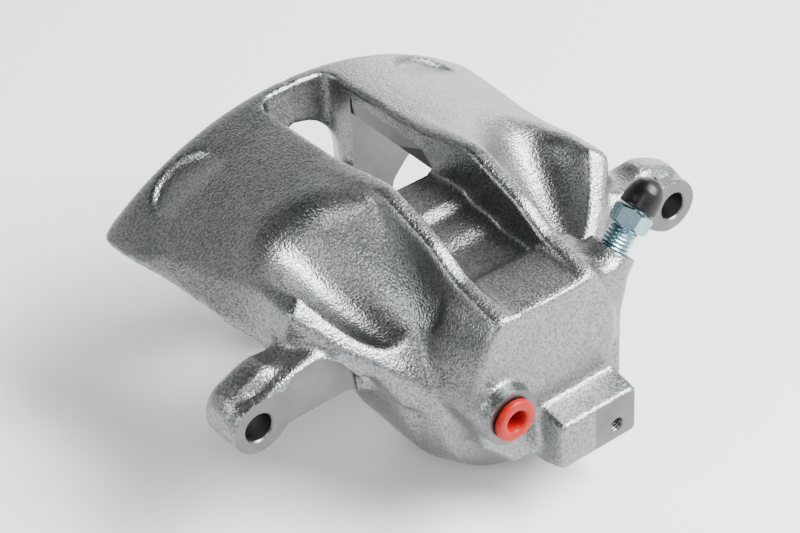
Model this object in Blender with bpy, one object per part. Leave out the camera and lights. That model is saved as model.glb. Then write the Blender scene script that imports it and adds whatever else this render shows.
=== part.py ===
"""Floating single-piston brake caliper, as it comes from the box.

The row frame stands the caliper on the tips of its two fingers and the underside of its
cylinder: +Z points out of the brake disc, +Y from the piston towards the fingers, and +X
towards the guide eye beside the bleed screw. All the sizes below are in millimetres from
the caliper's own datum, the point midway between the guide eyes on their machined faces;
DATUM places that point in the row frame.
"""

import math

import bmesh
import bpy
from mathutils import Matrix, Vector

MM = 0.001
DATUM = Vector((0.0, -26.5, 49.0))
GAP = 0.3
MERGE = 0.0001
FACETS = 48

# Guide eyes and the webs that carry them
EYE_X = 80.0
EYE_R = 9.3
EYE_BORE_R = 4.6
EYE_DEPTH = 15.0

# Cylinder, its bore and what is in it
BORE_Z = -14.0
BORE_R = 27.1
PISTON_R = 27.0
BARREL_R = 35.0
BARREL_STEP = -9.0
BARREL_FRONT = 20.0
END_PROFILE = ((12.0, -32.5), (20.5, -28.0), (26.5, -22.0), (30.6, -16.5), (32.5, -9.0))
BORE_END = -21.5
BORE_TAPER = 5.0
PISTON_LENGTH = 44.6
PISTON_FRONT = 24.0
PISTON_WALL = 4.5
SEAL_Y = 10.0
SEAL_WIDTH = 3.4
SEAL_OUTER_R = 30.0
BOOT_SEAT_R = 31.2
BOOT_SEAT_Y = 15.6

# Scoops beside the ribs: ellipsoids tipped up towards the front and turned outward
SCOOP_CENTRE = Vector((46.7, 32.0, 76.9))
SCOOP_RADII = (21.3, 84.5, 36.9)
SCOOP_TILT = math.radians(50.2)
SCOOP_YAW = math.radians(19.3)

# The flat band behind the scoops: dy on Y plus dz on Z may not pass this offset
BAND_Y = -0.77
BAND_Z = 0.64
BAND_OFFSET = 9.0

# Bridge over the disc
OUTBOARD = 98.0
FINGER_FACE = 78.0
DOME_R = 110.0
DOME_TOP = 37.5
CEILING_R = 152.0
CEILING_TOP = 26.5
PAD_STEP_Y = 36.0
PAD_STEP_DROP = 6.5
WINDOW_X = 13.3
WINDOW_NEAR = 36.5
WINDOW_FAR = 90.0
RIB_X = 19.4
FINGER_TIP = -49.0

# Rear block and its ports
REAR_FACE = -34.0
PORT_X = -19.5
PORT_Z = -4.5
PORT_FACE = -40.0
PORT_R = 5.1
LUG_FACE = -45.0
LUG_HOLE_X = 16.5
LUG_HOLE_Z = -25.0
LUG_HOLE_R = 2.6

# Bleed screw: where its axis leaves the boss, and the tilt of that axis
BLEED_BASE = Vector((34.6, -22.5, 19.4))
BLEED_LEAN = math.radians(44.0)
BLEED_HOLE_R = 4.15
BLEED_THREAD_R = 4.0
BLEED_SEAT = -15.0


def clear_scene():
    for old in list(bpy.data.objects):
        bpy.data.objects.remove(old, do_unlink=True)


def collection(name):
    made = bpy.data.collections.new(name)
    bpy.context.scene.collection.children.link(made)
    return made


def material(name, colour, roughness, metallic):
    made = bpy.data.materials.new(name)
    made.use_nodes = True
    shader = made.node_tree.nodes["Principled BSDF"]
    shader.inputs["Base Color"].default_value = (*colour, 1.0)
    shader.inputs["Roughness"].default_value = roughness
    shader.inputs["Metallic"].default_value = metallic
    return made


def new_object(name, bm, home, slot=None):
    """The mesh as an object of its own, made in millimetres from the datum."""
    bmesh.ops.recalc_face_normals(bm, faces=bm.faces[:])
    mesh = bpy.data.meshes.new(name)
    bm.to_mesh(mesh)
    bm.free()
    mesh.transform(Matrix.Scale(MM, 4) @ Matrix.Translation(DATUM))
    made = bpy.data.objects.new(name, mesh)
    home.objects.link(made)
    if slot:
        mesh.materials.append(slot)
    return made


def helper(name, bm):
    """A solid that only cuts or joins another one."""
    made = new_object(name, bm, HELPERS)
    made.hide_render = True
    made.display_type = "WIRE"
    return made


def boolean(target, other, operation, solver="EXACT"):
    change = target.modifiers.new(f"{operation.lower()} {other.name}", "BOOLEAN")
    change.object = other
    change.operation = operation
    change.solver = solver


def set_origin(obj, point, tilt=0.0):
    """Move the object's origin to a point on its joint's axis, with local Z along that axis."""
    place = Matrix.Translation((point + DATUM) * MM) @ Matrix.Rotation(tilt, 4, "Y")
    obj.data.transform(place.inverted())
    obj.matrix_world = place


def prism(outline, axis, low, high):
    """A flat outline extruded along the axis: its two coordinates are the others, in order."""
    spread = {"X": (1, 2), "Y": (0, 2), "Z": (0, 1)}[axis]
    along = "XYZ".index(axis)
    bm = bmesh.new()
    rim = []
    for pair in outline:
        place = [0.0, 0.0, 0.0]
        place[spread[0]], place[spread[1]] = pair
        place[along] = low
        rim.append(bm.verts.new(place))
    face = bm.faces.new(rim)
    grown = bmesh.ops.extrude_face_region(bm, geom=[face])["geom"]
    step = Vector([0.0, 0.0, 0.0])
    step[along] = high - low
    moved = [part for part in grown if isinstance(part, bmesh.types.BMVert)]
    bmesh.ops.translate(bm, vec=step, verts=moved)
    return bm


def loft(sections):
    """A skin through sections that all have the same number of points, closed at both ends."""
    bm = bmesh.new()
    rings = [[bm.verts.new(point) for point in section] for section in sections]
    count = len(rings[0])
    for near, far in zip(rings, rings[1:]):
        for i in range(count):
            j = (i + 1) % count
            bm.faces.new((near[i], near[j], far[j], far[i]))
    bm.faces.new(rings[0])
    bm.faces.new(list(reversed(rings[-1])))
    bmesh.ops.triangulate(bm, faces=bm.faces[:])
    return bm


def turned(profile, centre, tilt=None, facets=FACETS):
    """A solid of revolution from (radius, distance along the axis) points.

    The axis is the row's +Y with no tilt, or +Z leant towards +X by the tilt. A profile that
    doesn't start on the axis is closed into a ring.
    """
    bm = bmesh.new()
    first = Matrix.Rotation(math.pi / facets, 4, "Z")
    points = [bm.verts.new(first @ Vector((radius, 0.0, along))) for radius, along in profile]
    pairs = list(zip(points, points[1:]))
    if profile[0][0] > 0.0:
        pairs.append((points[-1], points[0]))
    edges = [bm.edges.new(pair) for pair in pairs]
    whole = 2.0 * math.pi
    bmesh.ops.spin(bm, geom=points + edges, axis=(0.0, 0.0, 1.0), angle=whole, steps=facets, use_merge=True)
    bmesh.ops.remove_doubles(bm, verts=bm.verts[:], dist=MERGE)
    turn = Matrix.Rotation(-math.pi / 2, 4, "X") if tilt is None else Matrix.Rotation(tilt, 4, "Y")
    bmesh.ops.transform(bm, matrix=Matrix.Translation(centre) @ turn, verts=bm.verts[:])
    return bm


def cylinder(radius, centre, low, high, tilt=None, facets=FACETS):
    profile = [(0.0, low), (radius, low), (radius, high), (0.0, high)]
    return turned(profile, centre, tilt, facets)


def scoop(side):
    """The hollow between a rib and the shoulder beside it."""
    bm = bmesh.new()
    bmesh.ops.create_uvsphere(bm, u_segments=44, v_segments=30, radius=1.0)
    bmesh.ops.scale(bm, vec=SCOOP_RADII, verts=bm.verts[:])
    turn = Matrix.Rotation(-side * SCOOP_YAW, 4, "Z") @ Matrix.Rotation(SCOOP_TILT, 4, "X")
    centre = Vector((side * SCOOP_CENTRE.x, SCOOP_CENTRE.y, SCOOP_CENTRE.z))
    bmesh.ops.transform(bm, matrix=Matrix.Translation(centre) @ turn, verts=bm.verts[:])
    return bm


def dome(x):
    """Height of the bridge's outer surface over the disc."""
    return DOME_TOP - DOME_R + math.sqrt(DOME_R**2 - x**2)


def ceiling(x):
    """Height of the bridge's machined inner surface over the disc."""
    return CEILING_TOP - CEILING_R + math.sqrt(CEILING_R**2 - x**2)


def bridge():
    """The arch over the disc, as a loft along Y.

    Each station is (y, half width on top, half width underneath, rise above the plain dome).
    """
    stations = (
        (OUTBOARD, 66.0, 67.0, -7.5),
        (OUTBOARD - 2.5, 69.0, 70.5, -3.2),
        (91.0, 69.0, 72.5, 0.0),
        (77.0, 67.0, 71.0, 0.0),
        (65.0, 64.0, 69.0, 0.5),
        (52.0, 62.2, 68.0, 1.2),
        (40.0, 61.5, 68.0, 2.6),
        (30.0, 61.2, 68.0, 4.2),
        (21.0, 61.5, 66.0, 5.5),
        (12.0, 60.5, 62.0, 5.4),
        (7.0, 56.0, 57.0, 5.4),
        (3.0, 51.5, 52.5, 5.4),
        (-2.4, 46.0, 47.0, 5.4),
    )
    across = 18
    steps = [2.0 * i / across - 1.0 for i in range(across + 1)]
    sections = []
    for y, top, foot, rise in stations:
        lower = PAD_STEP_DROP + 2.0 if y < PAD_STEP_Y + 5.0 else 0.5
        over = [(top * t, y, dome(top * t) + rise) for t in steps]
        under = [(foot * t, y, min(ceiling(foot * t) - lower, dome(foot * t) + rise - 1.5)) for t in steps]
        sections.append(over + list(reversed(under)))
    return loft(sections)


def shoulders():
    """What fills the space under the scoops, as far back as the cylinder's end."""
    right = [(21.9, -17.6), (30.5, -14.8), (39.2, -8.6), (50.0, -1.2), (54.4, 3.0), (59.3, 7.4)]
    right += [(59.6, BARREL_FRONT + 3.0)]
    left = [(-x, y) for x, y in reversed(right)]
    return prism(right + left, "Z", -3.0, 18.0)


def band_cutter():
    """Everything outside the plane of the flat band."""
    rear, front = -60.0, 40.0
    low = (BAND_OFFSET - BAND_Y * rear) / BAND_Z
    high = (BAND_OFFSET - BAND_Y * front) / BAND_Z
    return prism([(rear, low), (front, high), (rear, high)], "X", -100.0, 100.0)


def outboard_wall():
    """The crescent wall with its two fingers, before the notch between them."""
    right = [(60.0, 11.2), (66.0, 6.8), (50.0, 5.4), (40.0, 3.6), (35.5, 0.3), (29.0, -7.0)]
    right += [(26.5, -16.0), (25.5, -40.0), (22.5, -46.5), (17.5, FINGER_TIP)]
    over = [(x, dome(x) - 8.5) for x in (-44.0, -22.0, 0.0, 22.0, 44.0)]
    left = [(-x, z) for x, z in reversed(right)]
    outline = over + right + left
    middle = Vector((0.0, -10.0))
    sections = []
    stations = [(FINGER_FACE - 0.5, 1.0), (OUTBOARD - 3.5, 1.0)]
    stations += [(OUTBOARD - 1.1, 0.98), (OUTBOARD - 0.2, 0.95)]
    for y, size in stations:
        spread = [middle + (Vector(point) - middle) * size for point in outline]
        sections.append([(x, y, z) for x, z in spread])
    return loft(sections)


def notch():
    """The gap between the fingers: narrow at the pad face, wide at the outside."""
    sections = []
    for y, half, top in ((FINGER_FACE - 4.0, 7.7, 24.0), (90.6, 15.1, 21.5), (OUTBOARD + 4.0, 20.2, 12.0)):
        foot = FINGER_TIP - 8.0
        arch = [math.pi * i / 12 for i in range(13)]
        rim = [(half * math.cos(a), y, top - half + half * math.sin(a)) for a in arch]
        sections.append(rim + [(-half, y, foot), (half, y, foot)])
    return loft(sections)


def rib(side):
    """One of the two crests beside the window, from the bridge down to the rear face."""
    crest = [(52.0, 36.6), (45.0, 37.8), (33.0, 41.0), (21.0, 43.6), (16.0, 42.8), (6.0, 39.4)]
    crest += [(-4.0, 36.4), (-15.0, 29.6), (-23.0, 28.2), (-33.5, 25.5)]
    outline = crest + [(-33.5, 0.0), (20.0, 0.0), (20.0, 24.0), (52.0, 30.0)]
    low, high = sorted((side * (WINDOW_X - 0.4), side * RIB_X))
    return prism(outline, "X", low, high)


def flanks():
    """What slopes down from the ribs to the shoulders."""
    sections = []
    for y, crest in ((-32.8, 22.9), (-23.0, 25.4), (-15.0, 26.8), (-4.0, 33.6), (6.0, 36.6), (19.0, 40.2)):
        foot = RIB_X + 0.42 * (crest + 4.0)
        low = -4.0
        top = RIB_X - 0.2
        sections.append([(-foot, y, low), (foot, y, low), (top, y, crest), (-top, y, crest)])
    return loft(sections)


def channel():
    """The space between the ribs, with its stepped floor, and the window that it runs into."""
    floor = [(-60.0, 26.0), (REAR_FACE, 25.2), (-13.0, 26.2), (-11.0, 22.6), (3.0, 22.6), (8.0, 24.2)]
    floor += [(12.0, 24.6), (19.0, 25.2), (22.0, 27.0), (28.0, 27.0), (WINDOW_NEAR, 26.0)]
    far = [(WINDOW_NEAR, 10.0), (WINDOW_FAR, 10.0), (WINDOW_FAR, 60.0), (-60.0, 60.0)]
    return prism(floor + far, "X", -WINDOW_X, WINDOW_X)


def rear_block():
    """The inboard end of the cylinder, which carries the ports."""
    right = [(15.5, 25.4), (20.5, 20.5), (23.6, 9.0), (24.5, -7.0), (25.3, -16.0), (25.3, -26.0)]
    right += [(12.0, -32.0)]
    left = [(-14.0, -30.0), (-25.0, -18.0), (-27.5, -4.0), (-25.6, 8.0), (-24.2, 15.5), (-21.8, 21.0)]
    return prism(right + left + [(-16.5, 25.4)], "Y", REAR_FACE, -11.0)


def barrel():
    """The cylinder's outer skin: a barrel, and the domed end behind it."""
    profile = [(0.0, END_PROFILE[0][1]), *END_PROFILE, (BARREL_R - 2.0, BARREL_STEP)]
    profile += [(BARREL_R, BARREL_STEP + 2.0), (BARREL_R, BARREL_FRONT + 0.5), (0.0, BARREL_FRONT + 0.5)]
    return turned(profile, (0.0, 0.0, BORE_Z))


def web(side):
    """The arm from the shoulder to a guide eye."""
    front = [(36.0, -12.0), (48.0, -4.6), (70.0, -5.0), (76.0, -6.5), (80.0, -6.5), (80.0, 6.5)]
    front += [(76.0, 10.5), (66.0, 13.6), (57.0, 17.0), (50.0, 20.0), (34.0, 8.0)]
    return prism([(side * x, z) for x, z in front], "Y", 0.2, EYE_DEPTH - 0.6)


def disc_slot():
    """The space over the disc, and the lower one over the inboard pad, up to the cylinder."""
    step = PAD_STEP_Y
    profile = [(0.0, BARREL_FRONT), (CEILING_R - PAD_STEP_DROP, BARREL_FRONT)]
    profile += [(CEILING_R - PAD_STEP_DROP, step), (CEILING_R, step), (CEILING_R, FINGER_FACE)]
    profile += [(0.0, FINGER_FACE)]
    return turned(profile, (0.0, 0.0, CEILING_TOP - CEILING_R), facets=144)


def hose_lug():
    """The block under the rear face, drilled for the hose bracket."""
    side = [(LUG_FACE, -30.5), (LUG_FACE, -14.3), (-34.0, -12.2), (-20.0, -12.2), (-20.0, -33.0)]
    side += [(-36.0, -34.0)]
    return prism(side, "X", -5.0, 24.3)


def bleed_boss():
    profile = [(0.0, -24.0), (10.5, -24.0), (9.0, -6.0), (7.2, 0.0), (0.0, 0.0)]
    return turned(profile, BLEED_BASE, BLEED_LEAN, 28)


def bore_cutter():
    """Everything turned out of the cylinder from the front: bore, seal groove and boot seat."""
    seal_low = SEAL_Y - SEAL_WIDTH / 2 - GAP
    seal_high = SEAL_Y + SEAL_WIDTH / 2 + GAP
    profile = [(0.0, BORE_END), (BORE_R - BORE_TAPER, BORE_END), (BORE_R, BORE_END + BORE_TAPER)]
    profile += [(BORE_R, seal_low), (SEAL_OUTER_R + GAP, seal_low)]
    profile += [(SEAL_OUTER_R + GAP, seal_high), (BORE_R, seal_high), (BORE_R, BOOT_SEAT_Y)]
    profile += [(BOOT_SEAT_R, BOOT_SEAT_Y), (BOOT_SEAT_R, BARREL_FRONT + 2.0), (0.0, BARREL_FRONT + 2.0)]
    return turned(profile, (0.0, 0.0, BORE_Z))


def housing(slot):
    """The one-piece cast body: cylinder, bridge, fingers, guide eyes and bosses.

    The EXACT solver leaves open edges where the lofted shapes graze each other, so these
    Booleans use MANIFOLD. Every shape that goes into them is closed.
    """
    body = new_object("caliper_housing", bridge(), PARTS, slot)
    centre = Vector((PORT_X, 0.0, PORT_Z))
    port_boss = [(0.0, PORT_FACE), (8.2, PORT_FACE), (9.2, PORT_FACE + 1.0), (9.2, -24.0), (0.0, -24.0)]
    shell = [(0.0, -24.0), (24.0, -24.0), (BORE_R + 3.7, -15.0), (BORE_R + 3.7, 19.0), (0.0, 19.0)]
    bleed_thread = [(0.0, -19.0), (1.5, -19.0), (1.5, BLEED_SEAT - 1.0), (BLEED_HOLE_R, BLEED_SEAT + 2.0)]
    bleed_thread += [(BLEED_HOLE_R, 2.0), (0.0, 2.0)]
    sides = ((-1, "left"), (1, "right"))
    shaped = [
        ("wall", outboard_wall(), "UNION"),
        ("barrel", barrel(), "UNION"),
        ("shoulders", shoulders(), "UNION"),
        ("band", band_cutter(), "DIFFERENCE"),
        ("flanks", flanks(), "UNION"),
    ]
    shaped += [(f"{word} scoop", scoop(side), "DIFFERENCE") for side, word in sides]
    shaped += [
        ("cylinder shell", turned(shell, (0.0, 0.0, BORE_Z)), "UNION"),
        ("rear block", rear_block(), "UNION"),
        ("hose lug", hose_lug(), "UNION"),
        ("bleed boss", bleed_boss(), "UNION"),
        ("port boss", turned(port_boss, centre), "UNION"),
    ]
    for side, word in sides:
        eye = (side * EYE_X, 0.0, 0.0)
        shaped.append((f"{word} web", web(side), "UNION"))
        shaped.append((f"{word} eye boss", cylinder(EYE_R, eye, 0.0, EYE_DEPTH, facets=28), "UNION"))
        shaped.append((f"{word} rib", rib(side), "UNION"))
        eye_bore = cylinder(EYE_BORE_R, eye, -2.0, EYE_DEPTH + 2.0, facets=28)
        shaped.append((f"{word} eye", eye_bore, "DIFFERENCE"))
    lug_hole = (LUG_HOLE_X, 0.0, LUG_HOLE_Z)
    shaped += [
        ("disc slot", disc_slot(), "DIFFERENCE"),
        ("channel", channel(), "DIFFERENCE"),
        ("notch", notch(), "DIFFERENCE"),
        ("bore", bore_cutter(), "DIFFERENCE"),
        ("port", cylinder(PORT_R, centre, PORT_FACE - 2.0, -29.0, facets=28), "DIFFERENCE"),
        ("inlet passage", cylinder(1.6, centre, -32.0, BORE_END + 1.0, facets=16), "DIFFERENCE"),
        ("lug hole", cylinder(LUG_HOLE_R, lug_hole, LUG_FACE - 2.0, -33.0, facets=20), "DIFFERENCE"),
        ("bleed thread", turned(bleed_thread, BLEED_BASE, BLEED_LEAN, 24), "DIFFERENCE"),
    ]
    for name, shape, operation in shaped:
        boolean(body, helper(name, shape), operation, "MANIFOLD")
    return body


def piston(slot):
    """A cup, open towards the pad, with the groove that holds the boot's inner lip."""
    front, rear, r = PISTON_FRONT, PISTON_FRONT - PISTON_LENGTH, PISTON_R
    groove = front - 4.0
    outer = [(0.0, rear), (r - BORE_TAPER, rear), (r, rear + BORE_TAPER), (r, groove - 2.6)]
    outer += [(r - 1.6, groove - 2.6), (r - 1.6, groove), (r, groove), (r, front)]
    inner = [(r - PISTON_WALL, front), (r - PISTON_WALL, rear + 9.0), (r - PISTON_WALL - 4.0, rear + 5.0)]
    inner += [(0.0, rear + 5.0)]
    made = new_object("piston", turned(outer + inner, (0.0, 0.0, BORE_Z)), PARTS, slot)
    set_origin(made, Vector((0.0, 0.0, BORE_Z)))
    return made


def piston_seal(slot):
    low, high = SEAL_Y - SEAL_WIDTH / 2, SEAL_Y + SEAL_WIDTH / 2
    inner = PISTON_R + GAP
    profile = [(inner, low), (SEAL_OUTER_R, low), (SEAL_OUTER_R, high), (inner, high)]
    return new_object("piston_seal", turned(profile, (0.0, 0.0, BORE_Z)), PARTS, slot)


def piston_boot(slot):
    """The dust boot, folded while the piston is home."""
    groove = PISTON_FRONT - 4.0
    inner = PISTON_R - 1.6 + GAP
    seat = BOOT_SEAT_R - 1.3 - GAP
    near = BOOT_SEAT_Y + GAP
    profile = [(inner, groove - 2.2), (PISTON_R + GAP, groove - 2.2), (PISTON_R + 0.9, near)]
    profile += [(seat, near), (seat, near + 1.2), (PISTON_R + 2.4, near + 1.4)]
    profile += [(PISTON_R + 1.7, groove - 0.4), (inner, groove - 0.4)]
    return new_object("piston_boot", turned(profile, (0.0, 0.0, BORE_Z)), PARTS, slot)


def boot_retaining_ring(slot):
    outer = BOOT_SEAT_R - GAP
    low, high = BOOT_SEAT_Y + GAP, BARREL_FRONT - 0.4
    profile = [(outer - 1.0, low), (outer, low), (outer, high), (outer - 1.0, high)]
    return new_object("boot_retaining_ring", turned(profile, (0.0, 0.0, BORE_Z)), PARTS, slot)


def bleed_screw(slot):
    """Cone seat, thread, hexagon and hose nipple, drilled from the nipple down."""
    r = BLEED_THREAD_R
    shaft = [(0.0, BLEED_SEAT), (1.2, BLEED_SEAT), (r - 0.8, BLEED_SEAT + 3.0), (r - 0.8, BLEED_SEAT + 5.0)]
    shaft += [(r, BLEED_SEAT + 5.6), (r, 7.4), (r + 0.2, 7.4), (r + 0.2, 13.2), (2.4, 13.2), (2.4, 15.6)]
    shaft += [(3.05, 16.2), (3.05, 17.0), (2.2, 20.4), (1.1, 20.4), (1.1, -6.0), (0.0, -6.0)]
    made = new_object("bleed_screw", turned(shaft, BLEED_BASE, BLEED_LEAN, 24), PARTS, slot)
    hexagon = [(0.0, 7.6), (5.4, 7.6), (6.3, 8.3), (6.3, 12.3), (5.4, 13.0), (0.0, 13.0)]
    nut = helper("hexagon", turned(hexagon, BLEED_BASE, BLEED_LEAN, 6))
    boolean(nut, helper("hexagon core", cylinder(2.0, BLEED_BASE, 6.0, 14.6, BLEED_LEAN, 12)), "DIFFERENCE")
    boolean(made, nut, "UNION")
    set_origin(made, BLEED_BASE, BLEED_LEAN)
    return made


def bleed_cap(slot):
    """The rubber cap over the nipple."""
    shell = [(4.0, 13.7), (5.9, 13.7), (6.1, 16.5), (5.7, 19.8), (4.4, 22.6), (2.2, 24.1), (0.0, 24.5)]
    hollow = [(0.0, 21.0), (2.6, 20.9), (4.1, 17.3), (4.1, 15.4), (3.3, 15.0)]
    profile = list(reversed(hollow + shell))
    made = new_object("bleed_cap", turned(profile, BLEED_BASE, BLEED_LEAN, 28), PARTS, slot)
    set_origin(made, BLEED_BASE, BLEED_LEAN)
    return made


def inlet_plug(slot):
    """The transport plug pushed into the hose port."""
    centre = Vector((PORT_X, 0.0, PORT_Z))
    face = PORT_FACE - GAP
    profile = [(0.0, -31.0), (4.2, -31.0), (4.75, -33.0), (4.75, face), (6.9, face), (6.9, face - 1.6)]
    profile += [(6.2, face - 2.3), (3.9, face - 2.3), (3.4, face - 1.6), (3.2, -33.4), (0.0, -33.4)]
    made = new_object("inlet_plug", turned(profile, centre, None, 32), PARTS, slot)
    set_origin(made, centre)
    return made


clear_scene()
PARTS = collection("brake_caliper")
HELPERS = collection("cutters")

housing(material("cast_zinc", (0.56, 0.57, 0.56), 0.42, 1.0))
piston(material("piston_steel", (0.62, 0.61, 0.58), 0.3, 1.0))
piston_seal(material("seal_rubber", (0.03, 0.03, 0.03), 0.6, 0.0))
piston_boot(material("boot_rubber", (0.035, 0.035, 0.035), 0.65, 0.0))
boot_retaining_ring(material("ring_steel", (0.6, 0.6, 0.6), 0.35, 1.0))
bleed_screw(material("zinc_steel", (0.45, 0.58, 0.62), 0.28, 1.0))
bleed_cap(material("cap_rubber", (0.02, 0.02, 0.022), 0.5, 0.0))
inlet_plug(material("plug_plastic", (0.8, 0.07, 0.02), 0.4, 0.0))
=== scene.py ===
"""The looks of a floating brake caliper: a zinc-plated casting with its small parts.

The casting is one signed distance field, in millimetres from the caliper's own datum, meshed on a
regular grid and then cut by the shapes that a machine shop would cut it with. The datum is the
point midway between the guide eyes on their machined faces: +X runs towards the eye beside the
bleed screw, +Y from the cylinder to the fingers, and +Z out of the brake disc.
"""

import math

import bmesh
import bpy
import numpy as np
import openvdb
from mathutils import Matrix, Vector


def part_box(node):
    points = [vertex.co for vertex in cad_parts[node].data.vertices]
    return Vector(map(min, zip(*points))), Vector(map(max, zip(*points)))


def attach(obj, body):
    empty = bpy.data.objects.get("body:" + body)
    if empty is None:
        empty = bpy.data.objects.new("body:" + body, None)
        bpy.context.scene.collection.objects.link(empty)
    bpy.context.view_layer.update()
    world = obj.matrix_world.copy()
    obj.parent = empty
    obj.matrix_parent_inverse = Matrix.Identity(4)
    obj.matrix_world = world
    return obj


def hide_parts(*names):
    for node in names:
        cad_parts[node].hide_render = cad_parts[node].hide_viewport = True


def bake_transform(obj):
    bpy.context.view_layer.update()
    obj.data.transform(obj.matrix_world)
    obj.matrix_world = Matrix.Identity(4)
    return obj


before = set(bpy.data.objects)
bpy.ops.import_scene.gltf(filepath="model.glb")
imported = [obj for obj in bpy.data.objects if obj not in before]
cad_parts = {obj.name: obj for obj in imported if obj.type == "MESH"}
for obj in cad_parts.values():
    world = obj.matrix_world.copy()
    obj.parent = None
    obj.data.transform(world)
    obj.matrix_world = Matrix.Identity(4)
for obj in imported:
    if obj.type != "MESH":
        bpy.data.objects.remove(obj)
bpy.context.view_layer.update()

MM = 0.001
VOXEL = 0.95
GRID_LOW = (-93.0, -49.0, -53.0)
GRID_HIGH = (93.0, 102.0, 48.0)

# Driving sizes, shared with the CAD
OUTBOARD = 98.0
FINGER_FACE = 78.0
FINGER_TIP = -49.0
EYE_X = 80.0
EYE_R = 9.3
EYE_BORE_R = 4.6
EYE_DEPTH = 15.0
BORE_Z = -14.0
BORE_R = 27.1
BORE_END = -21.5
BORE_TAPER = 5.0
BARREL_R = 35.0
BARREL_STEP = -9.0
BARREL_FRONT = 20.0
END_PROFILE = ((-32.5, 12.0), (-28.0, 20.5), (-22.0, 26.5), (-16.5, 30.6), (-9.0, 32.5), (5.0, 33.0))
END_REAR = -32.5
REAR_FACE = -34.0
SEAL_Y = 10.0
SEAL_WIDTH = 3.4
SEAL_R = 30.0
BOOT_SEAT_R = 31.2
BOOT_SEAT_Y = 15.6
PISTON_R = 27.0
PISTON_FRONT = 24.0
PISTON_LENGTH = 44.6
DOME_R = 110.0
DOME_TOP = 37.5
CEILING_R = 152.0
CEILING_TOP = 26.5
PAD_STEP_Y = 36.0
PAD_STEP_DROP = 6.5
WINDOW_X = 13.3
WINDOW_NEAR = 36.5
WINDOW_FAR = 90.0
RIB_X = 19.4
PORT_X = -19.5
PORT_Z = -4.5
PORT_FACE = -40.0
PORT_R = 5.1
LUG_FACE = -45.0
LUG_HOLE_X = 16.5
LUG_CAST_X = 8.0
LUG_HOLE_Z = -25.0
BLEED_BASE = Vector((34.6, -22.5, 19.4))
BLEED_LEAN = math.radians(44.0)
BLEED_SEAT = -15.0
GAP = 0.3

# The scoops beside the ribs, mirrored: an ellipsoid turned outward and tipped up to the front
SCOOP_CENTRE = (46.7, 32.0, 76.9)
SCOOP_RADII = (21.3, 84.5, 36.9)
SCOOP_YAW = math.radians(19.3)
SCOOP_TILT = math.radians(50.2)
SCOOP_INNER = 0.92

# The bevelled band between the shoulders and the cylinder
BAND_NORMAL = (0.0, -0.77, 0.64)
BAND_OFFSET = 9.0

# The bridge's half width as (y, half width): at the edge of its top, and 10 mm below it
EDGE_WIDTH = ((0.0, 61.0), (40.0, 61.5), (52.0, 62.2), (65.0, 64.0), (77.0, 67.0), (91.0, 69.5))
FOOT_WIDTH = ((8.0, 62.0), (22.0, 64.0), (36.0, 67.0), (65.0, 69.0), (77.0, 71.0), (91.0, 73.0))

# The pockets cast into the bridge's top near the fingers, as ellipses over (side, y)
POCKET_CENTRE = (47.0, 80.5)
POCKET_RADII = (11.5, 10.5)
POCKET_DEPTH = 2.2

# The bleed screw along its own axis, from the machined seat of its boss
HEX_LOW = 7.4
HEX_HIGH = 13.1
HEX_ROUND_R = 6.5
HEX_CHAMFER_R = 5.45
HEX_CORNER_R = 6.32
NIPPLE_TOP = 20.4
NIPPLE_R = 3.05
DRILL_R = 1.1
THREAD_R = 4.0
COLLAR_R = 4.6

# The camera: azimuth, elevation and roll in degrees, its place from the datum, and its lens
CAMERA_ANGLES = (-35.6, 37.8, 3.6)
CAMERA_PLACE = (-352.93, -455.04, 465.38)
CAMERA_LENS = 110.8

# The piston's groove for the boot, and the cup inside it
GROOVE_BACK = 4.0
GROOVE_WIDTH = 2.6
GROOVE_DEPTH = 1.6
CUP_WALL = 4.5
CUP_BOTTOM = 5.0


def datum():
    """Where the caliper's datum lies in the row frame, in millimetres."""
    low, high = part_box("caliper_housing")
    middle = (low.x + high.x) / 2
    return Vector((middle / MM, high.y / MM - OUTBOARD, low.z / MM - FINGER_TIP))


DATUM = datum()
TO_ROW = Matrix.Scale(MM, 4) @ Matrix.Translation(DATUM)
ALONG_Y = Matrix.Rotation(-math.pi / 2, 4, "X")
ALONG_BLEED = Matrix.Translation(BLEED_BASE) @ Matrix.Rotation(BLEED_LEAN, 4, "Y")
BORE_AXIS = Matrix.Translation((0.0, 0.0, BORE_Z)) @ ALONG_Y
PORT_AXIS = Matrix.Translation((PORT_X, 0.0, PORT_Z)) @ ALONG_Y


# ---------------------------------------------------------------- distance fields

def axis_points(axis):
    count = int((GRID_HIGH[axis] - GRID_LOW[axis]) / VOXEL) + 1
    shape = [1, 1, 1]
    shape[axis] = count
    return (GRID_LOW[axis] + VOXEL * np.arange(count, dtype=np.float32)).reshape(shape)


X, Y, Z = axis_points(0), axis_points(1), axis_points(2)
SIDE = np.abs(X)


def soft_min(a, b, reach):
    """The smaller of two fields, with a fillet where they cross."""
    h = np.maximum(reach - np.abs(a - b), 0.0)
    return np.minimum(a, b) - h * h / (4.0 * reach)


def soft_max(a, b, reach):
    return -soft_min(-a, -b, reach)


def soft_step(low, high, v):
    t = np.clip((v - low) / (high - low), 0.0, 1.0)
    return t * t * (3.0 - 2.0 * t)


def slab(v, low, high):
    return np.maximum(low - v, v - high)


def outline(u, v, points):
    """Signed distance to a closed outline, negative inside."""
    near = np.full(np.broadcast_shapes(u.shape, v.shape), 1e9, np.float32)
    inside = np.zeros(near.shape, bool)
    for (au, av), (bu, bv) in zip(points, points[1:] + points[:1]):
        du, dv = bu - au, bv - av
        t = np.clip(((u - au) * du + (v - av) * dv) / (du * du + dv * dv), 0.0, 1.0)
        near = np.minimum(near, (u - au - t * du) ** 2 + (v - av - t * dv) ** 2)
        if dv:
            inside ^= ((av <= v) != (bv <= v)) & (u < au + (v - av) * du / dv)
    return np.where(inside, -1.0, 1.0).astype(np.float32) * np.sqrt(near)


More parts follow.
